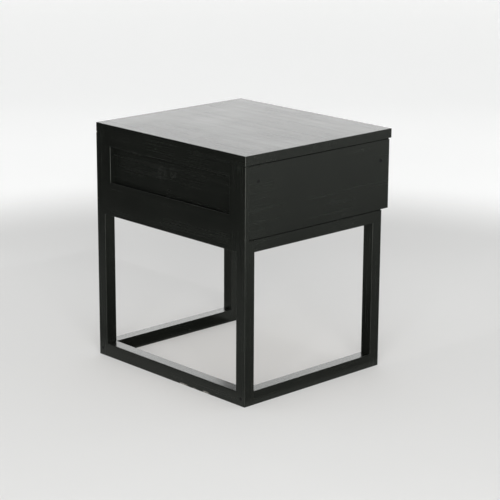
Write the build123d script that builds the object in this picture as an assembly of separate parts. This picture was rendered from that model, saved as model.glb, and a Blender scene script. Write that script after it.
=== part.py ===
from build123d import *
import os

# Side table with one drawer: an open base of square bars carries a shallow case, and a
# handle-less drawer hangs in the case on two wooden runners.
# Millimetres, +Z up, drawer front towards -Y, origin on the floor under the middle of the
# table top. "left" and "right" are those of a person who stands in front of the drawer.

# ---- driving dimensions -------------------------------------------------------------
WIDTH = 450.0              # over the side faces
HEIGHT = 500.0             # floor to table top
TOP_DEPTH = 406.0          # table top, back to front
CASE_DEPTH = 400.0         # side panels, back face to front end
FRAME_DEPTH = 381.0        # base frame, back face to front face
BAR = 25.0                 # square section of the legs and upper bars
FLOOR_RAIL_HEIGHT = 28.0
UPPER_RAIL_LOW = 309.5     # underside of the bars under the case
UPPER_RAIL_TOP = 333.5     # the case stands on this level
TOP_THICKNESS = 19.0
SHADOW_GAP = 2.0           # height of the open lines above and below a side panel
SHADOW_DEPTH = 3.0
ARRIS = 0.8                # sanded round on the edges of the painted wood

PANEL_THICKNESS = 15.0     # side panels
POST_LIP = 10.0            # part of the back leg that covers a side panel's rear end
BACK_THICKNESS = 18.0      # framed back
STILE_WIDTH = 20.0
RECESS_LOW = 380.0         # opening of the framed back
RECESS_HIGH = 455.0
RECESS_DEPTH = 9.5
BACK_PLY = 6.0
PLY_SEAT = 6.0             # depth of the groove that holds the back's panel

FRONT_THICKNESS = 18.0     # drawer front
FRONT_GAP = 1.5            # air beside the drawer front
GRIP_BEVEL = 12.0          # bevel behind the front's lower edge, for the fingers
DRAWER_WALL = 14.0
DRAWER_SIDE_GAP = 2.0
DRAWER_SIDE_LOW = 341.0
DRAWER_SIDE_HIGH = 462.0
DRAWER_BACK_HIGH = 452.0
DRAWER_LENGTH = 346.5      # sides, behind the front
BOTTOM_LOW = 352.0
BOTTOM_PLY = 4.0
BOTTOM_SEAT = 6.0

RUNNER_HEIGHT = 20.0
RUNNER_THICKNESS = 8.5
RUNNER_MIDDLE = 442.0
RUNNER_PLAY = 0.4          # air above and below a runner in its groove
RUNNER_GROOVE = 7.0        # depth of the groove in a drawer side

CLEAT_WIDTH = 15.0
CLEAT_HEIGHT = 14.0

PLY_SLACK = 0.5            # air between a plywood edge and the bottom of its groove
TOP_CORNER = 1.2           # sanded round on the upright corners of the top

DOWEL_RADIUS = 3.0
DOWEL_BITE = 14.0          # length of a dowel in each of its two pieces
DOWEL_STAGGER = 6.0        # keeps two dowels in one leg apart
FLOOR_DOWEL_LEVELS = (8.0, 20.0)
CASE_DOWEL_INSET = 40.0    # from the end of an upper bar to its first dowel
BACK_DOWEL_SPREAD = 20.0   # above and below the middle of the lower back rail
LEG_BITE = 7.0             # length of a back dowel in the leg
FRONT_DOWELS = ((374.0, 3.0), (408.0, 3.0), (457.0, 2.0))  # level and radius
FRONT_DOWEL_BITE = 11.0    # length in the drawer front
SIDE_DOWEL_BITE = 16.0     # length in the drawer side

SCREW_RADIUS = 1.75
SCREW_HEAD_RADIUS = 3.6
SCREW_HEAD_HEIGHT = 2.4
CROSS_LENGTH = 4.0         # arms of the driver's slot
CROSS_WIDTH = 0.9
CROSS_DEPTH = 1.2
FILLER_DEPTH = 2.0         # from the paint to the flat of a filled-over screw head
FILLER_SINK = 0.25         # dried filler lies this far under the paint
FLOOR_SCREW_LENGTH = 50.0
FLOOR_SCREW_OUTWARD = 1.5  # from the middle of the leg towards its outer face
FLOOR_SCREW_RISE = 1.0     # above the middle of the floor rail
RUNNER_SCREW_LENGTH = 20.0
RUNNER_SCREWS = ((34.0, 5.0), (374.5, -4.5))  # from the table's back, above the runner's middle
CLEAT_SCREW_LENGTH = 26.0
CLEAT_SCREW_INSET = 30.0   # from the end bars to the first cleat screw
CLEAT_SCREW_STEP = 18.0    # from an upright cleat screw to the level one beside it
DRAWER_SCREW_LENGTH = 35.0
DRAWER_SCREW_LEVELS = (375.0, 415.0)

NAIL_COUNT = 4
NAIL_SPACING = 110.0
NAIL_LENGTH = 20.0
NAIL_RADIUS = 0.7
NAIL_HEAD_RADIUS = 1.6
NAIL_HEAD_HEIGHT = 0.8

# ---- levels and planes worked out from them -----------------------------------------
SIDE_X = WIDTH / 2
BACK_Y = TOP_DEPTH / 2
TOP_FRONT_Y = -TOP_DEPTH / 2
CASE_FRONT_Y = BACK_Y - CASE_DEPTH
FRAME_FRONT_Y = BACK_Y - FRAME_DEPTH
INNER_X = SIDE_X - BAR
REAR_BAR_Y = BACK_Y - BAR
FRONT_BAR_Y = FRAME_FRONT_Y + BAR
TOP_LOW = HEIGHT - TOP_THICKNESS
RECESS_X = INNER_X - STILE_WIDTH
PANEL_X = SIDE_X - PANEL_THICKNESS
PANEL_REAR_Y = BACK_Y - POST_LIP
PLY_FACE_Y = BACK_Y - RECESS_DEPTH
FRONT_BACK_Y = CASE_FRONT_Y + FRONT_THICKNESS
FRONT_LOW = UPPER_RAIL_TOP + 2.5
FRONT_HIGH = TOP_LOW - SHADOW_GAP
FRONT_X = PANEL_X - FRONT_GAP
DRAWER_X = PANEL_X - DRAWER_SIDE_GAP
DRAWER_INNER_X = DRAWER_X - DRAWER_WALL
DRAWER_REAR_Y = FRONT_BACK_Y + DRAWER_LENGTH
RUNNER_X = PANEL_X - RUNNER_THICKNESS
BAR_MIDDLE = SIDE_X - BAR / 2
FLOOR_RAIL_MIDDLE = FLOOR_RAIL_HEIGHT / 2
UPPER_RAIL_MIDDLE = (UPPER_RAIL_LOW + UPPER_RAIL_TOP) / 2

os.makedirs("parts", exist_ok=True)


# ---- helpers ------------------------------------------------------------------------
def board(x, y, z):
    """A block between two limits along each axis."""
    size = [hi - lo for lo, hi in (x, y, z)]
    middle = [(hi + lo) / 2 for lo, hi in (x, y, z)]
    return Pos(*middle) * Box(*size)


def edges_at(solid, axis, places):
    """The edges along an axis that run through the places, given by their other two coordinates."""
    a, b = [i for i in range(3) if i != "XYZ".index(axis)]
    found = []
    for edge in solid.edges().filter_by(getattr(Axis, axis)):
        centre = tuple(edge.center())
        for first, second in places:
            if abs(centre[a] - first) < 0.01 and abs(centre[b] - second) < 0.01:
                found.append(edge)
    return found


def eased(solid, *groups, radius=ARRIS):
    """The solid with the named edges sanded round. A group is an axis and its places."""
    chosen = []
    for axis, places in groups:
        chosen += edges_at(solid, axis, places)
    return fillet(chosen, radius)


def rod(start, direction, length, radius):
    """A round bar from a point, along a direction."""
    plane = Plane(origin=start, z_dir=direction)
    return plane * Cylinder(radius, length, align=(Align.CENTER, Align.CENTER, Align.MIN))


def dowel(centre, direction):
    """A beech dowel whose middle lies in the joint."""
    start = Vector(*centre) - Vector(*direction) * DOWEL_BITE
    return rod(start, direction, 2 * DOWEL_BITE, DOWEL_RADIUS)


def screw(head, direction, length, radius=SCREW_RADIUS, head_radius=SCREW_HEAD_RADIUS):
    """A countersunk wood screw: the head's flat face is at the given point."""
    plane = Plane(origin=head, z_dir=direction)
    base = (Align.CENTER, Align.CENTER, Align.MIN)
    tip_length = 3 * radius
    cone = Cone(head_radius, radius, SCREW_HEAD_HEIGHT, align=base)
    shank = Cylinder(radius, length - tip_length, align=base)
    tip = Pos(0, 0, length - tip_length) * Cone(radius, 0.3 * radius, tip_length, align=base)
    return plane * (cone + shank + tip)


def cross_recess(head, direction):
    """The driver's cross slot in a screw head."""
    plane = Plane(origin=head, z_dir=direction)
    arm = Box(CROSS_LENGTH, CROSS_WIDTH, 2 * CROSS_DEPTH)
    return plane * (arm + Rot(0, 0, 90) * arm)


def both(solid):
    """A solid and its mirror image on the other side of the table."""
    return [solid, mirror(solid, about=Plane.YZ)]


def cut(solid, tools):
    """The solid without the tools."""
    for tool in tools:
        solid = solid - tool
    return solid


def save(name, *solids):
    """One node: one solid, or a group of like fasteners."""
    shape = solids[0] if len(solids) == 1 else Compound(children=list(solids))
    export_step(shape, f"parts/{name}.step")


def save_pair(name, left):
    """The left-hand piece, and its mirror image as the right-hand one."""
    save(f"{name}_left", left)
    save(f"{name}_right", mirror(left, about=Plane.YZ))


# ---- fasteners ----------------------------------------------------------------------
LEFT, RIGHT, BACKWARD, FORWARD = (-1, 0, 0), (1, 0, 0), (0, 1, 0), (0, -1, 0)
UP = (0, 0, 1)


def frame_dowels():
    """Dowels between the bars and the legs, on the left half of the base."""
    found = []
    for y in (REAR_BAR_Y, FRONT_BAR_Y):
        found.append(dowel((-BAR_MIDDLE, y, UPPER_RAIL_MIDDLE + DOWEL_STAGGER), BACKWARD))
    front_y = FRAME_FRONT_Y + BAR / 2
    found.append(dowel((-INNER_X, front_y, UPPER_RAIL_MIDDLE - DOWEL_STAGGER), RIGHT))
    rear_y = BACK_Y - BAR / 2
    for z in FLOOR_DOWEL_LEVELS:
        found.append(dowel((-INNER_X, rear_y, z), RIGHT))
    return found


def case_dowels():
    """Upright dowels from the upper bars into the side panels, left half."""
    x = -(SIDE_X - PANEL_THICKNESS / 2)
    rear = REAR_BAR_Y - CASE_DOWEL_INSET
    front = FRONT_BAR_Y + CASE_DOWEL_INSET
    return [dowel((x, y, UPPER_RAIL_TOP), UP) for y in (rear, (rear + front) / 2, front)]


def back_dowels():
    """Dowels that hold the framed back together and to the back legs, left half."""
    y = BACK_Y - BACK_THICKNESS / 2
    lower = (UPPER_RAIL_LOW + RECESS_LOW) / 2
    upper = (RECESS_HIGH + TOP_LOW) / 2
    length = LEG_BITE + STILE_WIDTH + DOWEL_BITE
    levels = (lower - BACK_DOWEL_SPREAD, lower + BACK_DOWEL_SPREAD, upper)
    return [rod((-INNER_X - LEG_BITE, y, z), RIGHT, length, DOWEL_RADIUS) for z in levels]


def floor_rail_screws():
    """Screws through the legs into the ends of a side floor rail, left half."""
    x = -BAR_MIDDLE - FLOOR_SCREW_OUTWARD
    z = FLOOR_RAIL_MIDDLE + FLOOR_SCREW_RISE
    return [
        ((x, BACK_Y - FILLER_DEPTH, z), FORWARD, FLOOR_SCREW_LENGTH),
        ((x, FRAME_FRONT_Y + FILLER_DEPTH, z), BACKWARD, FLOOR_SCREW_LENGTH),
    ]


def runner_screws():
    """Screws from outside through a side panel into its drawer runner, left half."""
    x = -SIDE_X + FILLER_DEPTH
    found = []
    for from_back, rise in RUNNER_SCREWS:
        head = (x, BACK_Y - from_back, RUNNER_MIDDLE + rise)
        found.append((head, RIGHT, RUNNER_SCREW_LENGTH))
    return found


def cleat_screws():
    """Screws from a cleat up into the top and sideways into the side panel, left half."""
    x = -PANEL_X + CLEAT_WIDTH / 2
    inner = -PANEL_X + CLEAT_WIDTH
    low = TOP_LOW - CLEAT_HEIGHT
    middle = TOP_LOW - CLEAT_HEIGHT / 2
    found = []
    for y in (REAR_BAR_Y - CLEAT_SCREW_INSET, 0.0, FRONT_BAR_Y + CLEAT_SCREW_INSET):
        found.append(((x, y, low), UP, CLEAT_SCREW_LENGTH))
        found.append(((inner, y + CLEAT_SCREW_STEP, middle), LEFT, CLEAT_SCREW_LENGTH))
    return found


def drawer_dowels():
    """Dowels from the drawer front into the drawer sides, left half."""
    x = -(DRAWER_X - DRAWER_WALL / 2)
    y = FRONT_BACK_Y - FRONT_DOWEL_BITE
    length = FRONT_DOWEL_BITE + SIDE_DOWEL_BITE
    return [rod((x, y, z), BACKWARD, length, radius) for z, radius in FRONT_DOWELS]


def drawer_back_screws():
    """Screws through a drawer side into the end of the drawer back, left half."""
    y = DRAWER_REAR_Y - DRAWER_WALL / 2
    return [((-DRAWER_X, y, z), RIGHT, DRAWER_SCREW_LENGTH) for z in DRAWER_SCREW_LEVELS]


def drawer_nails():
    """Nails up through the plywood bottom into the drawer back."""
    y = DRAWER_REAR_Y - DRAWER_WALL / 2
    found = []
    for i in range(NAIL_COUNT):
        foot = ((i - (NAIL_COUNT - 1) / 2) * NAIL_SPACING, y, BOTTOM_LOW - NAIL_HEAD_HEIGHT)
        head = rod(foot, UP, NAIL_HEAD_HEIGHT, NAIL_HEAD_RADIUS)
        found.append(head + rod(foot, UP, NAIL_LENGTH, NAIL_RADIUS))
    return found


def shapes(places):
    """The plain solids of screws on both sides of the table."""
    return [copy for place in places for copy in both(screw(*place))]


def slotted(places):
    """The same screws with their cross recess."""
    return [copy for place in places for copy in both(screw(*place) - cross_recess(*place[:2]))]


def fillers(places):
    """Filler over sunk screw heads, and the wells that hold it, on both sides of the table."""
    discs, wells = [], []
    for head, direction, _length in places:
        outward = tuple(-d for d in direction)
        discs += both(rod(head, outward, FILLER_DEPTH - FILLER_SINK, SCREW_HEAD_RADIUS))
        wells += both(rod(head, outward, FILLER_DEPTH, SCREW_HEAD_RADIUS))
    return discs, wells


sunk = floor_rail_screws() + runner_screws()
filler_discs, filler_wells = fillers(sunk)
frame_pegs = [copy for peg in frame_dowels() for copy in both(peg)]
case_pegs = [copy for peg in case_dowels() for copy in both(peg)]
back_pegs = [copy for peg in back_dowels() for copy in both(peg)]
drawer_pegs = [copy for peg in drawer_dowels() for copy in both(peg)]
base_tools = frame_pegs + case_pegs + back_pegs + shapes(sunk) + filler_wells


# ---- base frame and framed back: sanded as one, then divided into its members ---------
def opened_frame():
    """Legs, bars and framed back in one piece, with their exposed edges rounded."""
    legs_top = board((-SIDE_X, SIDE_X), (REAR_BAR_Y, BACK_Y), (UPPER_RAIL_TOP, TOP_LOW))
    block = board((-SIDE_X, SIDE_X), (FRAME_FRONT_Y, BACK_Y), (0, UPPER_RAIL_TOP)) + legs_top
    room = board((-INNER_X, INNER_X), (FRONT_BAR_Y, REAR_BAR_Y), (-1, HEIGHT))
    front_way = board((-INNER_X, INNER_X), (-BACK_Y, 0), (-1, UPPER_RAIL_LOW))
    back_way = board((-INNER_X, INNER_X), (0, BACK_Y + 1), (FLOOR_RAIL_HEIGHT, UPPER_RAIL_LOW))
    side_way = board((-SIDE_X - 1, SIDE_X + 1), (FRONT_BAR_Y, REAR_BAR_Y),
                     (FLOOR_RAIL_HEIGHT, UPPER_RAIL_LOW))
    behind = board((-INNER_X, INNER_X), (REAR_BAR_Y - 1, BACK_Y - BACK_THICKNESS),
                   (UPPER_RAIL_LOW, HEIGHT))
    recess = board((-RECESS_X, RECESS_X), (0, BACK_Y + 1), (RECESS_LOW, RECESS_HIGH))
    frame = cut(block, [room, front_way, back_way, side_way, behind, recess])
    corners = [(x, y) for x in (-SIDE_X, SIDE_X) for y in (FRAME_FRONT_Y, BACK_Y)]
    rim_x = [(BACK_Y, z) for z in (FLOOR_RAIL_HEIGHT, UPPER_RAIL_LOW, RECESS_LOW, RECESS_HIGH)]
    rim_z = [(x, BACK_Y) for x in (-INNER_X, INNER_X, -RECESS_X, RECESS_X)]
    rim_z += [(x, y) for x in (-SIDE_X, SIDE_X) for y in (FRONT_BAR_Y, REAR_BAR_Y)]
    rim_y = [(x, z) for x in (-SIDE_X, SIDE_X) for z in (FLOOR_RAIL_HEIGHT, UPPER_RAIL_LOW)]
    front_z = [(x, FRAME_FRONT_Y) for x in (-INNER_X, INNER_X)]
    front_x = [(FRAME_FRONT_Y, UPPER_RAIL_LOW)]
    return eased(frame, ("Z", corners + rim_z + front_z), ("X", rim_x + front_x), ("Y", rim_y))


frame = opened_frame()
beyond = SIDE_X + 1

# a side panel lies in the rebate of the back leg and on the upper side bar
left_panel_seat = board((-beyond, -PANEL_X), (FRAME_FRONT_Y - 1, PANEL_REAR_Y),
                        (UPPER_RAIL_TOP, HEIGHT))
left_gap_above = board((-beyond, -SIDE_X + SHADOW_DEPTH), (-BACK_Y, BACK_Y + 1),
                       (TOP_LOW - SHADOW_GAP, TOP_LOW))

leg_back = frame & board((-beyond, -INNER_X), (REAR_BAR_Y, BACK_Y + 1), (-1, HEIGHT))
leg_back = cut(leg_back, [left_panel_seat, left_gap_above] + base_tools)
save_pair("leg_back", leg_back)

leg_front = frame & board((-beyond, -INNER_X), (FRAME_FRONT_Y - 1, FRONT_BAR_Y),
                          (-1, UPPER_RAIL_TOP))
save_pair("leg_front", cut(leg_front, base_tools))

floor_zone = (-1, FLOOR_RAIL_HEIGHT + 1)
upper_zone = (UPPER_RAIL_LOW - 1, UPPER_RAIL_TOP)
side_span = (FRONT_BAR_Y, REAR_BAR_Y)
cross_span = (-INNER_X, INNER_X)
for name, zone in (("floor_rail", floor_zone), ("upper_rail", upper_zone)):
    rail = frame & board((-beyond, -INNER_X), side_span, zone)
    save_pair(name, cut(rail, base_tools))
floor_rail_back = frame & board(cross_span, (REAR_BAR_Y, BACK_Y + 1), floor_zone)
save("floor_rail_back", cut(floor_rail_back, base_tools))
upper_rail_front = frame & board(cross_span, (FRAME_FRONT_Y - 1, FRONT_BAR_Y), upper_zone)
save("upper_rail_front", cut(upper_rail_front, base_tools))

# the back's panel floats in a groove around the opening
ply_y = (PLY_FACE_Y - BACK_PLY, PLY_FACE_Y)
groove = board((-RECESS_X - PLY_SEAT, RECESS_X + PLY_SEAT), ply_y,
               (RECESS_LOW - PLY_SEAT, RECESS_HIGH + PLY_SEAT))
hold = PLY_SEAT - PLY_SLACK
save("back_panel", board((-RECESS_X - hold, RECESS_X + hold), ply_y,
                         (RECESS_LOW - hold, RECESS_HIGH + hold)))

back_zone = (BACK_Y - BACK_THICKNESS, BACK_Y + 1)
stile = frame & board((-INNER_X, -RECESS_X), back_zone, (UPPER_RAIL_LOW - 1, TOP_LOW))
save_pair("back_stile", cut(stile, [groove] + base_tools))
opening_span = (-RECESS_X, RECESS_X)
lower = frame & board(opening_span, back_zone, (UPPER_RAIL_LOW - 1, RECESS_LOW + 1))
save("back_rail_lower", cut(lower, [groove] + base_tools))
upper = frame & board(opening_span, back_zone, (RECESS_HIGH - 1, TOP_LOW))
save("back_rail_upper", cut(upper, [groove] + base_tools))

# ---- case ---------------------------------------------------------------------------
panel = board((-SIDE_X, -PANEL_X), (CASE_FRONT_Y, PANEL_REAR_Y), (UPPER_RAIL_TOP, TOP_LOW))
gap_zone = (UPPER_RAIL_TOP - 1, UPPER_RAIL_TOP + SHADOW_GAP)
gap_below = board((-beyond, -SIDE_X + SHADOW_DEPTH), (FRAME_FRONT_Y - 1, BACK_Y), gap_zone)
clear_of_frame = board((-beyond, -INNER_X), (CASE_FRONT_Y - 1, FRAME_FRONT_Y), gap_zone)
panel = eased(panel, ("Z", [(-SIDE_X, CASE_FRONT_Y), (-PANEL_X, CASE_FRONT_Y)]))
panel = cut(panel, [left_gap_above, gap_below, clear_of_frame] + case_pegs)
panel = cut(panel, shapes(sunk + cleat_screws()) + filler_wells)
save_pair("side_panel", panel)

top = board((-SIDE_X, SIDE_X), (TOP_FRONT_Y, BACK_Y), (TOP_LOW, HEIGHT))
top = fillet(top.edges().filter_by(Axis.Z), TOP_CORNER)
top = fillet(top.faces().sort_by(Axis.Z)[-1].edges(), ARRIS)
save("top_board", cut(top, shapes(cleat_screws())))

cleat = board((-PANEL_X, -PANEL_X + CLEAT_WIDTH), (FRONT_BAR_Y + 2, REAR_BAR_Y - 2),
              (TOP_LOW - CLEAT_HEIGHT, TOP_LOW))
save_pair("top_cleat", cut(cleat, shapes(cleat_screws())))

runner = board((-PANEL_X, -RUNNER_X), (FRAME_FRONT_Y, REAR_BAR_Y - 1),
               (RUNNER_MIDDLE - RUNNER_HEIGHT / 2, RUNNER_MIDDLE + RUNNER_HEIGHT / 2))
runner_rims = [(-RUNNER_X, RUNNER_MIDDLE + side * RUNNER_HEIGHT / 2) for side in (-1, 1)]
runner = eased(runner, ("Y", runner_rims))
save_pair("drawer_runner", cut(runner, shapes(runner_screws())))

# ---- drawer -------------------------------------------------------------------------
bottom_zone = (BOTTOM_LOW, BOTTOM_LOW + BOTTOM_PLY)
bottom_seat = board((-DRAWER_INNER_X - BOTTOM_SEAT, DRAWER_INNER_X + BOTTOM_SEAT),
                    (FRONT_BACK_Y - BOTTOM_SEAT, DRAWER_REAR_Y + 1), bottom_zone)

front = board((-FRONT_X, FRONT_X), (CASE_FRONT_Y, FRONT_BACK_Y), (FRONT_LOW, FRONT_HIGH))
front_corners = [(x, CASE_FRONT_Y) for x in (-FRONT_X, FRONT_X)]
front = chamfer(edges_at(front, "X", [(FRONT_BACK_Y, FRONT_LOW)]), GRIP_BEVEL)
front = eased(front, ("Z", front_corners), ("X", [(CASE_FRONT_Y, z) for z in (FRONT_LOW, FRONT_HIGH)]))
save("drawer_front", cut(front, [bottom_seat] + drawer_pegs))

side = board((-DRAWER_X, -DRAWER_INNER_X), (FRONT_BACK_Y, DRAWER_REAR_Y),
             (DRAWER_SIDE_LOW, DRAWER_SIDE_HIGH))
side_rims = [(x, DRAWER_SIDE_HIGH) for x in (-DRAWER_X, -DRAWER_INNER_X)]
side = eased(side, ("Y", side_rims))
runner_groove = board((-DRAWER_X - 1, -DRAWER_X + RUNNER_GROOVE),
                      (FRONT_BACK_Y - 1, DRAWER_REAR_Y + 1),
                      (RUNNER_MIDDLE - RUNNER_HEIGHT / 2 - RUNNER_PLAY,
                       RUNNER_MIDDLE + RUNNER_HEIGHT / 2 + RUNNER_PLAY))
side = cut(side, [runner_groove, bottom_seat] + drawer_pegs + shapes(drawer_back_screws()))
save_pair("drawer_side", side)

bottom_top = BOTTOM_LOW + BOTTOM_PLY
drawer_back = board((-DRAWER_INNER_X, DRAWER_INNER_X), (DRAWER_REAR_Y - DRAWER_WALL, DRAWER_REAR_Y),
                    (bottom_top, DRAWER_BACK_HIGH))
back_rims = [(y, DRAWER_BACK_HIGH) for y in (DRAWER_REAR_Y - DRAWER_WALL, DRAWER_REAR_Y)]
drawer_back = eased(drawer_back, ("X", back_rims))
save("drawer_back", cut(drawer_back, shapes(drawer_back_screws()) + drawer_nails()))

hold = BOTTOM_SEAT - PLY_SLACK
drawer_bottom = board((-DRAWER_INNER_X - hold, DRAWER_INNER_X + hold),
                      (FRONT_BACK_Y - hold, DRAWER_REAR_Y), bottom_zone)
save("drawer_bottom", cut(drawer_bottom, drawer_nails()))

# ---- fastener nodes -----------------------------------------------------------------
save("frame_dowels", *frame_pegs)
save("side_panel_dowels", *case_pegs)
save("back_frame_dowels", *back_pegs)
save("drawer_front_dowels", *drawer_pegs)
save("floor_rail_screws", *slotted(floor_rail_screws()))
save("runner_screws", *slotted(runner_screws()))
save("cleat_screws", *slotted(cleat_screws()))
save("drawer_back_screws", *slotted(drawer_back_screws()))
save("drawer_bottom_nails", *drawer_nails())
save("screw_fillers", *filler_discs)
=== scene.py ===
import math

import bpy
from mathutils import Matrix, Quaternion, Vector


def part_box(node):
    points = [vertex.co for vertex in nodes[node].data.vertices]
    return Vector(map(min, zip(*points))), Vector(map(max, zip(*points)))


# Side table with drawer: black satin paint outside, bare wood inside.
# Metres, in the frame of the CAD model: +Z up, drawer front towards -Y.

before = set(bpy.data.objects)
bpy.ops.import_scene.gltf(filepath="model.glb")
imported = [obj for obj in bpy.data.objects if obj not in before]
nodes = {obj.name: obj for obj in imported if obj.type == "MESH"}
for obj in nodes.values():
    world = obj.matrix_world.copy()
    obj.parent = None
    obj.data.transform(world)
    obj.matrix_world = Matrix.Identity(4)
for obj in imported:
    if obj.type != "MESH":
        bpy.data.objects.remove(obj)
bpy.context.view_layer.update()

# ---- camera -------------------------------------------------------------------------
CAMERA_PLACE = Vector((-2.599, 2.425, 1.209))
CAMERA_TARGET = Vector((-0.0108, -0.0114, 0.2359))
CAMERA_ROLL = math.radians(0.294)
CAMERA_LENS = 127.63       # millimetres
SENSOR_WIDTH = 36.0        # millimetres
CAMERA_REACH = 40.0

# ---- stage --------------------------------------------------------------------------
FLOOR_RINGS = (0.6, 1.2, 2.4)
FLOOR_RADIUS = 6.5
SWEEP_RADIUS = 1.2
WALL_TOP = 2.8
STAGE_SEGMENTS = 128
SWEEP_STEPS = 16
FLOOR_TONE = (0.540, 0.537, 0.526, 1.0)
WALL_TONE = (0.86, 0.86, 0.85, 1.0)
TONE_CHANGE = (1.15, 1.75)  # distances from the table between which the tones blend
FLOOR_GLOW = 0.18          # the floor and the backdrop are lit from behind a little
BACKDROP_GLOW = 0.26
STAGE_SPECULAR = 0.15

# ---- light --------------------------------------------------------------------------
# Each soft panel has its place, the point it faces, its width and height, and its luminance.
SOFTBOXES = {
    "key_softbox": ((-3.5, 3.2, 2.0), (0.0, 0.0, 0.2), 3.4, 2.4, 9.0),
    "overhead_softbox": ((0.0, 0.0, 2.9), (0.0, 0.0, 0.0), 2.4, 2.4, 0.3),
}
SHEEN_SOFTBOXES = {        # these show in glossy surfaces alone
    "far_softbox": ((2.0, -1.9, 1.0), (0.0, 0.0, 0.35), 3.0, 1.6, 1.12),
    "low_softbox": ((0.66, -0.62, 0.31), (0.0, 0.0, 0.31), 2.4, 0.37, 1.05),
}
SKY_TONE = (0.98, 0.99, 1.0, 1.0)
SKY_STRENGTH = 0.55

# ---- cloths on the floor that only glossy surfaces see, to darken what the paint mirrors
REAR_FLAG_X = (-0.35, 4.0)
REAR_FLAG_Y = (0.24, 2.4)   # it lies from the first to the second, then hangs
REAR_FLAG_TOP = 1.8
REAR_FADE = (0.78, 0.96)    # from mid grey to black, away from the table
SIDE_FLAG_X = (-1.9, -0.24)
SIDE_FLAG_Y = (-1.9, 0.35)
SIDE_FADE = (-0.75, -1.5)   # from grey to pale, away from the table
FAR_FLAG_X = (0.29, 0.90)
FAR_FLAG_Y = (-0.30, 0.34)
FLAG_INSET = 0.03           # from the outside of the table to the cloth under it
FLAG_LIFT = 0.002
BLACK_CLOTH = (0.00255, 0.00255, 0.00255, 1.0)
GREY_CLOTH = (0.323, 0.323, 0.3145, 1.0)
MID_CLOTH = (0.442, 0.442, 0.4335, 1.0)
PALE_CLOTH = (0.697, 0.697, 0.6885, 1.0)

# ---- colours, linear ----------------------------------------------------------------
PAINT_DARK = (0.0048, 0.0054, 0.0045, 1.0)
PAINT_LIGHT = (0.0070, 0.0077, 0.0065, 1.0)
# lighter paint on rounded edges: rubbed wear, and also a painted highlight
PAINT_RUBBED_AND_HIGHLIGHT = (0.100, 0.103, 0.094, 1.0)
PAINT_SCUFF = (0.020, 0.021, 0.019, 1.0)
BARE_CHIP = (0.170, 0.163, 0.148, 1.0)
# painted shade inside the open lines of the side panels and on the recess's sill
GROOVE_PAINTED_SHADE = (0.0004, 0.0004, 0.0004, 1.0)
PAINT_SHEEN_TINT = (0.92, 1.0, 0.89, 1.0)
FILLER_DARK = (0.004, 0.004, 0.004, 1.0)
FILLER_LIGHT = (0.009, 0.009, 0.009, 1.0)
PINE_EARLY = (0.66, 0.475, 0.285, 1.0)
PINE_LATE = (0.47, 0.275, 0.125, 1.0)
PINE_KNOT = (0.13, 0.060, 0.026, 1.0)
PINE_END = (0.40, 0.255, 0.135, 1.0)
BIRCH_LIGHT = (0.68, 0.545, 0.385, 1.0)
BIRCH_DARK = (0.56, 0.415, 0.265, 1.0)
BIRCH_CORE = (0.33, 0.205, 0.110, 1.0)
BEECH_LIGHT = (0.56, 0.39, 0.25, 1.0)
BEECH_DARK = (0.42, 0.26, 0.15, 1.0)
ZINC_LIGHT = (0.66, 0.67, 0.69, 1.0)
ZINC_DARK = (0.43, 0.44, 0.46, 1.0)

# ---- surfaces -----------------------------------------------------------------------
PAINT_SPECULAR = 0.25
FILLER_SPECULAR = 0.15
WOOD_SPECULAR = 0.35
PAINT_RELIEF = (0.00022, 0.42)  # the distance and strength of a bump
FILLER_RELIEF = (0.0003, 1.0)
PINE_RELIEF = (0.0003, 0.35)
PLYWOOD_RELIEF = (0.0002, 0.4)
BEECH_RELIEF = (0.0002, 0.5)
ZINC_RELIEF = (0.00004, 0.6)
STAGE_RELIEF = (0.0002, 0.2)
CLOTH_RELIEF = (0.0002, 1.0)

ARRIS_NORMAL = (0.985, 0.80)    # the normal's largest part, on a face and on a rounded edge
WEAR_AND_HIGHLIGHT_LEVELS = (0.16, 0.44)   # upright edges are painted lighter towards the top: wear from handling, and a painted highlight from light above
GROOVE_DEPTHS = (0.0010, 0.0025)  # behind the face, where its shade begins and is full
GROOVE_BLUR = 0.0002            # above and below a groove's levels
GROOVE_HEIGHT = 0.002           # of the open lines above and below a side panel
SILL_REACH = 0.001              # to either side of the level of the recess's sill

# Marks in the paint of the back: the place along X and the level, then the half-lengths.
PANEL_SCUFFS = (((0.028, 0.425), (0.016, 0.004, 0.018)),
                ((-0.006, 0.430), (0.013, 0.004, 0.015)))
RAIL_CHIPS = (((-0.045, 0.0012), (0.0150, 0.004, 0.0018)),  # levels above the rail's lower edge
              ((-0.112, 0.0016), (0.0120, 0.004, 0.0020)),
              ((-0.078, 0.0008), (0.0060, 0.003, 0.0012)))
LEG_SCUFF = ((0.0075, -0.005), (0.0040, 0.004, 0.0030))     # from the leg's middle and the top

# Figure of the bare wood.
RINGS = 330.0                   # growth rings per metre across the grain
RING_TAPER = 0.035              # how little the rings change along the grain
RING_DRIFT = 5.0                # in rings
KNOT_SWIRL = 2.2                # in rings
LATE_RISE = (0.25, 0.88)        # latewood darkens slowly through a ring
LATE_FALL = (1.0, 0.93)         # and ends sharply
SIDE_KNOTS = {"drawer_side_left": 0.31, "drawer_side_right": 0.68}  # along the side, 0 to 1
SIDE_KNOT_LEVEL = 0.062
SIDE_KNOT_SIZE = 0.0065
SIDE_PITH = (-0.030, 0.35)      # from the inner face, and as a part of the height
BACK_KNOT = (0.29, 0.060)       # from the board's end and its lower edge
BACK_KNOT_SIZE = 0.0055
BACK_PITH = (0.028, 0.020)      # behind the board and above its lower edge
BATTEN_PITH = (0.045, 0.020)    # from the batten's side and above it
PLIES = 5

AXES = {"X": 0, "Y": 1, "Z": 2}
WHITE = (1.0, 1.0, 1.0, 1.0)


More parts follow.
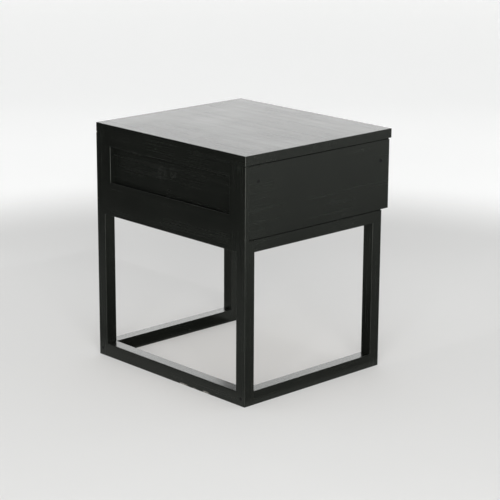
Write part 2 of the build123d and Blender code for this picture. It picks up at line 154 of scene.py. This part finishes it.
# ---- shader nodes -------------------------------------------------------------------
class Shader:
    """A material's node tree, with short calls for the nodes that the finishes share."""

    def __init__(self, name):
        self.material = bpy.data.materials.new(name)
        self.material.use_nodes = True
        self.tree = self.material.node_tree
        self.tree.nodes.clear()
        self.point = self.add("ShaderNodeTexCoord").outputs["Object"]

    def add(self, kind, inputs=None, **settings):
        node = self.tree.nodes.new(kind)
        for name, value in settings.items():
            setattr(node, name, value)
        for name, value in (inputs or {}).items():
            if isinstance(value, bpy.types.NodeSocket):
                self.tree.links.new(value, node.inputs[name])
            else:
                node.inputs[name].default_value = value
        return node

    def math(self, operation, a, b=0.0):
        return self.add("ShaderNodeMath", {0: a, 1: b}, operation=operation).outputs[0]

    def total(self, *terms):
        """The sum of (value, weight) terms."""
        found = 0.0
        for value, weight in terms:
            node = self.add("ShaderNodeMath", {0: value, 1: weight, 2: found},
                            operation="MULTIPLY_ADD")
            found = node.outputs[0]
        return found

    def step(self, value, low, high, to_low=0.0, to_high=1.0):
        """A smooth step of the value from low to high."""
        inputs = {"Value": value, "From Min": low, "From Max": high,
                  "To Min": to_low, "To Max": to_high}
        return self.add("ShaderNodeMapRange", inputs, interpolation_type="SMOOTHSTEP").outputs[0]

    def mix(self, factor, a, b):
        """A blend of two colours."""
        node = self.add("ShaderNodeMix", data_type="RGBA")
        for socket, value in ((node.inputs[0], factor), (node.inputs[6], a), (node.inputs[7], b)):
            if isinstance(value, bpy.types.NodeSocket):
                self.tree.links.new(value, socket)
            else:
                socket.default_value = value
        return node.outputs[2]

    def scaled(self, vector, factors):
        node = self.add("ShaderNodeVectorMath", {0: vector, 1: factors}, operation="MULTIPLY")
        return node.outputs[0]

    def moved(self, vector, offset):
        node = self.add("ShaderNodeVectorMath", {0: vector, 1: offset}, operation="ADD")
        return node.outputs[0]

    def length(self, vector):
        return self.add("ShaderNodeVectorMath", {0: vector}, operation="LENGTH").outputs["Value"]

    def parts(self, vector):
        node = self.add("ShaderNodeSeparateXYZ", {0: vector})
        return [node.outputs[i] for i in range(3)]

    def noise(self, vector, scale, detail=2.0, roughness=0.5, distortion=0.0):
        inputs = {"Vector": vector, "Scale": scale, "Detail": detail,
                  "Roughness": roughness, "Distortion": distortion}
        return self.add("ShaderNodeTexNoise", inputs).outputs[0]

    def streaks(self, axis, along, across, detail=3.0, distortion=0.0):
        """Noise drawn out along an axis. along and across are its scales, per metre."""
        factors = [across] * 3
        factors[AXES[axis]] = along
        return self.noise(self.scaled(self.point, factors), 1.0, detail, 0.55, distortion)

    def arris(self):
        """1 where the surface is rounded over an edge, 0 on flat faces."""
        normal = self.parts(self.add("ShaderNodeNewGeometry").outputs["True Normal"])
        sizes = [self.math("ABSOLUTE", part) for part in normal]
        largest = self.math("MAXIMUM", self.math("MAXIMUM", sizes[0], sizes[1]), sizes[2])
        return self.step(largest, *ARRIS_NORMAL)

    def facing(self, axis):
        """1 on faces whose normal lies along an axis, either way."""
        normal = self.parts(self.add("ShaderNodeNewGeometry").outputs["Normal"])
        return self.step(self.math("ABSOLUTE", normal[AXES[axis]]), 0.6, 0.9)

    def upright_edge(self):
        """1 on faces that look sideways, 0 on those that look up or down, even aslant."""
        normal = self.parts(self.add("ShaderNodeNewGeometry").outputs["Normal"])
        return self.step(self.math("ABSOLUTE", normal[2]), 0.30, 0.12)

    def spot(self, centre, size, ragged, scale):
        """A ragged patch about a point: 1 inside, 0 outside. size is its half-length along each
        axis, and ragged and scale are the reach and scale of the noise that moves its outline."""
        wobble = self.add("ShaderNodeTexNoise",
                          {"Vector": self.point, "Scale": scale, "Detail": 4.0})
        shift = self.scaled(self.moved(wobble.outputs["Color"], (-0.5, -0.5, -0.5)), (ragged,) * 3)
        relative = self.moved(self.point, tuple(-c for c in centre))
        relative = self.scaled(relative, tuple(1 / s for s in size))
        return self.step(self.length(self.moved(relative, shift)), 1.0, 0.7)

    def groove(self, axis, face, levels):
        """1 on surfaces set back from a face, at levels near those given, 0 elsewhere."""
        place = self.parts(self.point)
        begins, full = GROOVE_DEPTHS
        depth = self.step(self.math("ABSOLUTE", place[AXES[axis]]), face - begins, face - full)
        found = 0.0
        for low, high in levels:
            near = self.math("MULTIPLY", self.step(place[2], low - GROOVE_BLUR, low),
                             self.step(place[2], high + GROOVE_BLUR, high))
            found = self.math("MAXIMUM", found, near)
        return self.math("MULTIPLY", depth, found)

    def finish(self, colour, roughness, height, relief, specular=0.5, metallic=0.0, glow=0.0,
               tint=WHITE):
        """The material. height is the pattern of its relief, and relief the distance and strength
        of the bump."""
        distance, strength = relief
        bump = self.add("ShaderNodeBump", {"Height": height, "Distance": distance,
                                           "Strength": strength})
        inputs = {"Base Color": colour, "Roughness": roughness, "Normal": bump.outputs[0],
                  "Metallic": metallic, "Specular IOR Level": specular, "Specular Tint": tint,
                  "Emission Color": WHITE, "Emission Strength": glow}
        surface = self.add("ShaderNodeBsdfPrincipled", inputs)
        self.add("ShaderNodeOutputMaterial", {"Surface": surface.outputs[0]})
        return self.material


# ---- finishes -----------------------------------------------------------------------
def paint(name, axis, scuffs=(), chips=(), groove=None):
    """Black satin paint, brushed along the member's axis over close-grained wood. Each of the
    marks is a (centre, size) pair, and groove names a place whose colour is darkened with painted
    shade, as if out of the light."""
    s = Shader(name)
    grain = s.streaks(axis, 7.0, 420.0, 4.0)
    brush = s.streaks(axis, 2.2, 95.0, 3.0, 0.3)
    mottle = s.noise(s.point, 9.0, 3.0)
    nib = s.noise(s.point, 1500.0, 2.0)
    arris = s.arris()
    patchy = s.noise(s.point, 38.0, 4.0, 0.6)

    tone = s.total((grain, 0.35), (brush, 0.35), (mottle, 0.30))
    colour = s.mix(s.step(tone, 0.38, 0.62), PAINT_DARK, PAINT_LIGHT)
    # Rounded edges are painted lighter: partly rubbed wear, partly a painted highlight, strongest
    # on upright edges and towards the top, where the light falls.
    wear_and_highlight = s.step(s.parts(s.point)[2], *WEAR_AND_HIGHLIGHT_LEVELS, 0.35, 1.0)
    wear_and_highlight = s.math("MULTIPLY", wear_and_highlight, s.step(s.upright_edge(), 0.0, 1.0, 0.12, 1.0))
    rubbed_and_highlight = s.math("MULTIPLY", arris, s.step(patchy, 0.30, 0.62, 0.50, 1.0))
    rubbed_and_highlight = s.math("MULTIPLY", rubbed_and_highlight, wear_and_highlight)
    colour = s.mix(rubbed_and_highlight, colour, PAINT_RUBBED_AND_HIGHLIGHT)
    for centre, size in scuffs:
        swirl = s.noise(s.point, 75.0, 2.0, 0.4, 3.0)
        line = s.step(s.math("ABSOLUTE", s.math("SUBTRACT", swirl, 0.5)), 0.060, 0.0)
        spot = s.math("MULTIPLY", s.spot(centre, size, 0.5, 60.0), line)
        colour = s.mix(spot, colour, PAINT_SCUFF)
    # Painted shade: the set-back surfaces of the groove are darkened in colour, as if out of the
    # light.
    if groove:
        colour = s.mix(s.groove(*groove), colour, GROOVE_PAINTED_SHADE)
    height = s.total((grain, 0.42), (brush, 0.22), (nib, 0.20))
    for centre, size in chips:
        spot = s.spot(centre, size, 1.1, 420.0)
        colour = s.mix(spot, colour, BARE_CHIP)
        height = s.math("SUBTRACT", height, spot)
    roughness = s.total((mottle, 0.08), (brush, 0.08), (grain, 0.06), (rubbed_and_highlight, 0.08), (1.0, 0.15))
    return s.finish(colour, roughness, height, PAINT_RELIEF, PAINT_SPECULAR,
                    tint=PAINT_SHEEN_TINT)


def filler(name):
    """Dried filler under a coat of paint."""
    s = Shader(name)
    grit = s.noise(s.point, 900.0, 4.0, 0.65)
    colour = s.mix(s.step(grit, 0.35, 0.65), FILLER_DARK, FILLER_LIGHT)
    return s.finish(colour, s.step(grit, 0.2, 0.8, 0.55, 0.8), grit, FILLER_RELIEF,
                    FILLER_SPECULAR)


def pine(name, length, pith, knots=()):
    """Planed softwood. length is the axis of its grain, pith is where the tree's middle lies
    across the grain, and knots are (centre, size) pairs."""
    s = Shader(name)
    drift = s.streaks(length, 1.6, 14.0, 2.0)
    swirl = 0.0
    knot_mask = 0.0
    for centre, size in knots:
        reach = [4.0 * size] * 3
        reach[AXES[length]] = 7.0 * size
        swirl = s.total((s.spot(centre, reach, 0.1, 30.0), 1.0), (swirl, 1.0))
        knot_mask = s.math("MAXIMUM", knot_mask, s.spot(centre, (size,) * 3, 0.25, 160.0))
    across = s.moved(s.point, [-p for p in pith])
    factors = [1.0, 1.0, 1.0]
    factors[AXES[length]] = RING_TAPER
    rings = s.total((s.length(s.scaled(across, factors)), RINGS), (drift, RING_DRIFT),
                    (swirl, KNOT_SWIRL))
    phase = s.math("FRACT", rings)
    late = s.math("MULTIPLY", s.step(phase, *LATE_RISE), s.step(phase, *LATE_FALL))
    fibre = s.streaks(length, 11.0, 1400.0, 3.0)
    patch = s.noise(s.point, 6.0, 2.0)

    colour = s.mix(s.math("MULTIPLY", late, 0.72), PINE_EARLY, PINE_LATE)
    colour = s.mix(s.step(fibre, 0.52, 0.70, 0.0, 0.30), colour, PINE_LATE)
    colour = s.mix(s.step(patch, 0.35, 0.75, 0.0, 0.14), colour, PINE_END)
    colour = s.mix(s.math("MULTIPLY", s.facing(length), 0.45), colour, PINE_END)
    colour = s.mix(s.math("MULTIPLY", s.arris(), 0.25), colour, PINE_END)
    colour = s.mix(s.math("MULTIPLY", knot_mask, 0.9), colour, PINE_KNOT)
    height = s.total((late, 0.5), (fibre, 0.6), (knot_mask, 0.4))
    roughness = s.total((late, -0.10), (fibre, 0.12), (1.0, 0.56))
    return s.finish(colour, roughness, height, PINE_RELIEF, WOOD_SPECULAR)


def plywood(name, plies, low, thickness):
    """Birch plywood that lies flat: veneer on its faces, plies on its edges."""
    s = Shader(name)
    fibre = s.streaks("X", 9.0, 1100.0, 3.0)
    figure = s.streaks("X", 2.6, 26.0, 3.0, 1.4)
    flecks = s.streaks("X", 60.0, 700.0, 2.0)
    colour = s.mix(s.step(figure, 0.35, 0.70), BIRCH_LIGHT, BIRCH_DARK)
    colour = s.mix(s.step(fibre, 0.50, 0.72, 0.0, 0.35), colour, BIRCH_DARK)
    colour = s.mix(s.step(flecks, 0.66, 0.74, 0.0, 0.45), colour, BIRCH_CORE)
    height = s.parts(s.point)[2]
    layer = s.math("MULTIPLY", s.math("SUBTRACT", height, low), plies / thickness)
    cross_ply = s.step(s.math("PINGPONG", layer, 1.0), 0.30, 0.55)
    edge = s.math("SUBTRACT", 1.0, s.facing("Z"))
    colour = s.mix(s.math("MULTIPLY", edge, cross_ply), colour, BIRCH_CORE)
    relief = s.total((fibre, 0.6), (flecks, 0.4))
    return s.finish(colour, s.step(fibre, 0.3, 0.7, 0.50, 0.62), relief, PLYWOOD_RELIEF,
                    WOOD_SPECULAR)


def beech(name):
    """Fluted beech dowel rod."""
    s = Shader(name)
    flecks = s.noise(s.scaled(s.point, (500.0, 500.0, 500.0)), 1.0, 3.0)
    figure = s.noise(s.point, 60.0, 2.0)
    colour = s.mix(s.step(figure, 0.3, 0.7), BEECH_LIGHT, BEECH_DARK)
    colour = s.mix(s.step(flecks, 0.60, 0.70, 0.0, 0.6), colour, BEECH_DARK)
    return s.finish(colour, s.step(flecks, 0.3, 0.7, 0.45, 0.6), flecks, BEECH_RELIEF,
                    WOOD_SPECULAR)


def zinc(name):
    """Zinc-plated steel of wood screws and nails."""
    s = Shader(name)
    cloud = s.noise(s.point, 700.0, 3.0)
    scratch = s.noise(s.scaled(s.point, (400.0, 2600.0, 2600.0)), 1.0, 2.0)
    colour = s.mix(s.step(cloud, 0.35, 0.65), ZINC_DARK, ZINC_LIGHT)
    roughness = s.total((cloud, 0.18), (scratch, 0.12), (1.0, 0.20))
    return s.finish(colour, roughness, scratch, ZINC_RELIEF, metallic=1.0)


def give(material, *names):
    """Puts one material on CAD nodes."""
    for name in names:
        mesh = nodes[name].data
        mesh.materials.clear()
        mesh.materials.append(material)


def middle(name):
    low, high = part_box(name)
    return (low + high) / 2


# ---- painted pieces -----------------------------------------------------------------
panel_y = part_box("back_panel")[1].y
rail_low, rail_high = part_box("floor_rail_back")
back_y = rail_high.y
leg_x = middle("leg_back_left").x
top_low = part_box("top_board")[0].z
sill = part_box("back_rail_lower")[1].z
side_low, side_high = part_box("side_panel_left")

panel_scuffs = [((x, panel_y, z), size) for (x, z), size in PANEL_SCUFFS]
rail_chips = [((x, back_y, rail_low.z + rise), size) for (x, rise), size in RAIL_CHIPS]
(across, rise), size = LEG_SCUFF
leg_scuffs = [((leg_x + across, back_y, top_low + rise), size)]
# Places darkened with painted shade: the sill of the back's recess, and the open lines above and
# below the side panels.
sill_groove = ("Y", back_y, [(sill - SILL_REACH, sill + SILL_REACH)])
side_grooves = ("X", -side_low.x, [(side_low.z, side_low.z + GROOVE_HEIGHT),
                                   (side_high.z - GROOVE_HEIGHT, side_high.z)])

give(paint("paint_along_x", "X"), "top_board", "back_rail_upper", "upper_rail_front",
     "drawer_front")
give(paint("paint_recess_sill_painted_shade", "X", groove=sill_groove), "back_rail_lower")
give(paint("paint_along_y", "Y"), "floor_rail_left", "floor_rail_right", "upper_rail_left",
     "upper_rail_right")
give(paint("paint_grooved_panel_painted_shade", "Y", groove=side_grooves), "side_panel_left",
     "side_panel_right")
give(paint("paint_along_z", "Z"), "leg_back_right", "leg_front_left", "leg_front_right",
     "back_stile_left", "back_stile_right")
give(paint("paint_scuffed_panel", "X", scuffs=panel_scuffs), "back_panel")
give(paint("paint_chipped_rail", "X", chips=rail_chips), "floor_rail_back")
give(paint("paint_marked_leg", "Z", scuffs=leg_scuffs), "leg_back_left")
give(filler("filler_under_paint"), "screw_fillers")

# ---- bare wood and metal ------------------------------------------------------------
for name, along in SIDE_KNOTS.items():
    low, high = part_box(name)
    out, up = SIDE_PITH
    pith = (low.x + out, (low.y + high.y) / 2, low.z + up * (high.z - low.z))
    knot = ((low.x + high.x) / 2, low.y + along * (high.y - low.y), low.z + SIDE_KNOT_LEVEL)
    give(pine("pine_" + name, "Y", pith, [(knot, SIDE_KNOT_SIZE)]), name)

low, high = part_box("drawer_back")
pith = ((low.x + high.x) / 2, high.y + BACK_PITH[0], low.z + BACK_PITH[1])
knot = (low.x + BACK_KNOT[0], (low.y + high.y) / 2, low.z + BACK_KNOT[1])
give(pine("pine_drawer_back", "X", pith, [(knot, BACK_KNOT_SIZE)]), "drawer_back")

for name in ("drawer_runner_left", "top_cleat_left", "drawer_runner_right", "top_cleat_right"):
    low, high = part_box(name)
    pith = (low.x + BATTEN_PITH[0], (low.y + high.y) / 2, high.z + BATTEN_PITH[1])
    give(pine("pine_" + name, "Y", pith), name)

low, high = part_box("drawer_bottom")
give(plywood("birch_plywood_sheet", PLIES, low.z, high.z - low.z), "drawer_bottom")

give(beech("beech_rod"), "frame_dowels", "side_panel_dowels", "back_frame_dowels",
     "drawer_front_dowels")
give(zinc("zinc_plate"), "floor_rail_screws", "runner_screws", "cleat_screws",
     "drawer_back_screws", "drawer_bottom_nails")


# ---- stage --------------------------------------------------------------------------
def stage_profile():
    """The floor's radius and height from the middle outwards, then up the swept wall."""
    points = [(radius, 0.0) for radius in (0.0, *FLOOR_RINGS, FLOOR_RADIUS)]
    for i in range(1, SWEEP_STEPS + 1):
        turn = math.pi / 2 * i / SWEEP_STEPS
        points.append((FLOOR_RADIUS + SWEEP_RADIUS * math.sin(turn),
                       SWEEP_RADIUS * (1 - math.cos(turn))))
    points.append((FLOOR_RADIUS + SWEEP_RADIUS, WALL_TOP))
    return points


def stage_material():
    """Pale matt board, a little lighter beyond the table's surroundings."""
    s = Shader("stage_board")
    radius = s.length(s.scaled(s.point, (1.0, 1.0, 0.0)))
    cloud = s.noise(s.point, 2.2, 3.0)
    tone = s.total((s.step(radius, *TONE_CHANGE), 1.0), (cloud, 0.10))
    fine = s.noise(s.point, 240.0, 2.0)
    colour = s.mix(tone, FLOOR_TONE, WALL_TONE)
    return s.finish(colour, s.step(cloud, 0.3, 0.7, 0.72, 0.80), fine, STAGE_RELIEF,
                    STAGE_SPECULAR, glow=s.step(radius, *TONE_CHANGE, FLOOR_GLOW, BACKDROP_GLOW))


def build_stage():
    profile = stage_profile()
    verts = [(0.0, 0.0, 0.0)]
    faces = []
    for radius, height in profile[1:]:
        for k in range(STAGE_SEGMENTS):
            turn = 2 * math.pi * k / STAGE_SEGMENTS
            verts.append((radius * math.cos(turn), radius * math.sin(turn), height))
    for k in range(STAGE_SEGMENTS):
        after = (k + 1) % STAGE_SEGMENTS
        faces.append((0, 1 + k, 1 + after))
        for ring in range(len(profile) - 2):
            a = 1 + ring * STAGE_SEGMENTS
            b = a + STAGE_SEGMENTS
            faces.append((a + k, b + k, b + after, a + after))
    mesh = bpy.data.meshes.new("studio_sweep")
    mesh.from_pydata(verts, [], faces)
    mesh.shade_smooth()
    mesh.materials.append(stage_material())
    sweep = bpy.data.objects.new("studio_sweep", mesh)
    bpy.context.scene.collection.objects.link(sweep)


# ---- light --------------------------------------------------------------------------
def softbox(name, place, target, width, height, luminance, sheen_only=False):
    """A soft panel that the camera doesn't see. With sheen_only, only glossy surfaces show it."""
    light = bpy.data.lights.new(name, "AREA")
    light.shape = "RECTANGLE"
    light.size = width
    light.size_y = height
    light.energy = luminance * math.pi * width * height
    panel = bpy.data.objects.new(name, light)
    panel.location = place
    panel.rotation_euler = (Vector(target) - Vector(place)).to_track_quat("-Z", "Y").to_euler()
    panel.visible_camera = False
    panel.visible_diffuse = not sheen_only
    bpy.context.scene.collection.objects.link(panel)


def flag(name, tone, outline, far_tone=None, axis="Y", fade=None):
    """A cloth that only glossy surfaces see. The outline is a row of ((x low, x high), y, z) across
    it. With far_tone, its tone changes along an axis between the two places in fade."""
    s = Shader(name)
    weave = s.noise(s.point, 300.0, 2.0)
    if far_tone:
        tone = s.mix(s.step(s.parts(s.point)[AXES[axis]], *fade), tone, far_tone)
    cloth = s.finish(tone, s.step(weave, 0.0, 1.0, 0.9, 1.0), weave, CLOTH_RELIEF, specular=0.0)
    verts = []
    for xs, y, z in outline:
        verts += [(x, y, z) for x in xs]
    faces = [(2 * i, 2 * i + 1, 2 * i + 3, 2 * i + 2) for i in range(len(outline) - 1)]
    mesh = bpy.data.meshes.new(name)
    mesh.from_pydata(verts, [], faces)
    mesh.materials.append(cloth)
    made = bpy.data.objects.new(name, mesh)
    bpy.context.scene.collection.objects.link(made)
    made.visible_camera = False
    made.visible_diffuse = False
    made.visible_shadow = False


def build_flags():
    near, far = REAR_FLAG_Y
    flag("rear_flag", MID_CLOTH,
         [(REAR_FLAG_X, near, FLAG_LIFT), (REAR_FLAG_X, far, FLAG_LIFT),
          (REAR_FLAG_X, far, REAR_FLAG_TOP)], BLACK_CLOTH, "Y", REAR_FADE)
    flag("side_flag", GREY_CLOTH, [(SIDE_FLAG_X, y, FLAG_LIFT) for y in SIDE_FLAG_Y],
         PALE_CLOTH, "X", SIDE_FADE)
    flag("far_flag", GREY_CLOTH, [(FAR_FLAG_X, y, 2 * FLAG_LIFT) for y in FAR_FLAG_Y])
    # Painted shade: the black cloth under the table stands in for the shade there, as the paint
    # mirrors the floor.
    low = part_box("floor_rail_left")[0]
    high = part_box("floor_rail_right")[1]
    inside = (low.x + FLAG_INSET, high.x - FLAG_INSET)
    flag("under_table_painted_shade_flag", BLACK_CLOTH, [(inside, y, FLAG_LIFT) for y in (low.y, high.y)])


def build_light():
    for name, measures in SHEEN_SOFTBOXES.items():
        softbox(name, *measures, sheen_only=True)
    for name, measures in SOFTBOXES.items():
        softbox(name, *measures)
    world = bpy.data.worlds.new("soft_room")
    world.use_nodes = True
    sky = world.node_tree.nodes["Background"]
    sky.inputs["Color"].default_value = SKY_TONE
    sky.inputs["Strength"].default_value = SKY_STRENGTH
    bpy.context.scene.world = world
    bpy.context.scene.view_settings.view_transform = "Standard"


def build_camera():
    data = bpy.data.cameras.new("main_camera")
    data.lens = CAMERA_LENS
    data.sensor_width = SENSOR_WIDTH
    data.clip_end = CAMERA_REACH
    camera = bpy.data.objects.new("main_camera", data)
    camera.location = CAMERA_PLACE
    aim = (CAMERA_TARGET - CAMERA_PLACE).to_track_quat("-Z", "Y")
    roll = Quaternion((0.0, 0.0, 1.0), CAMERA_ROLL)
    camera.rotation_mode = "QUATERNION"
    camera.rotation_quaternion = aim @ roll
    bpy.context.scene.collection.objects.link(camera)
    bpy.context.scene.camera = camera


build_stage()
build_flags()
build_light()
build_camera()
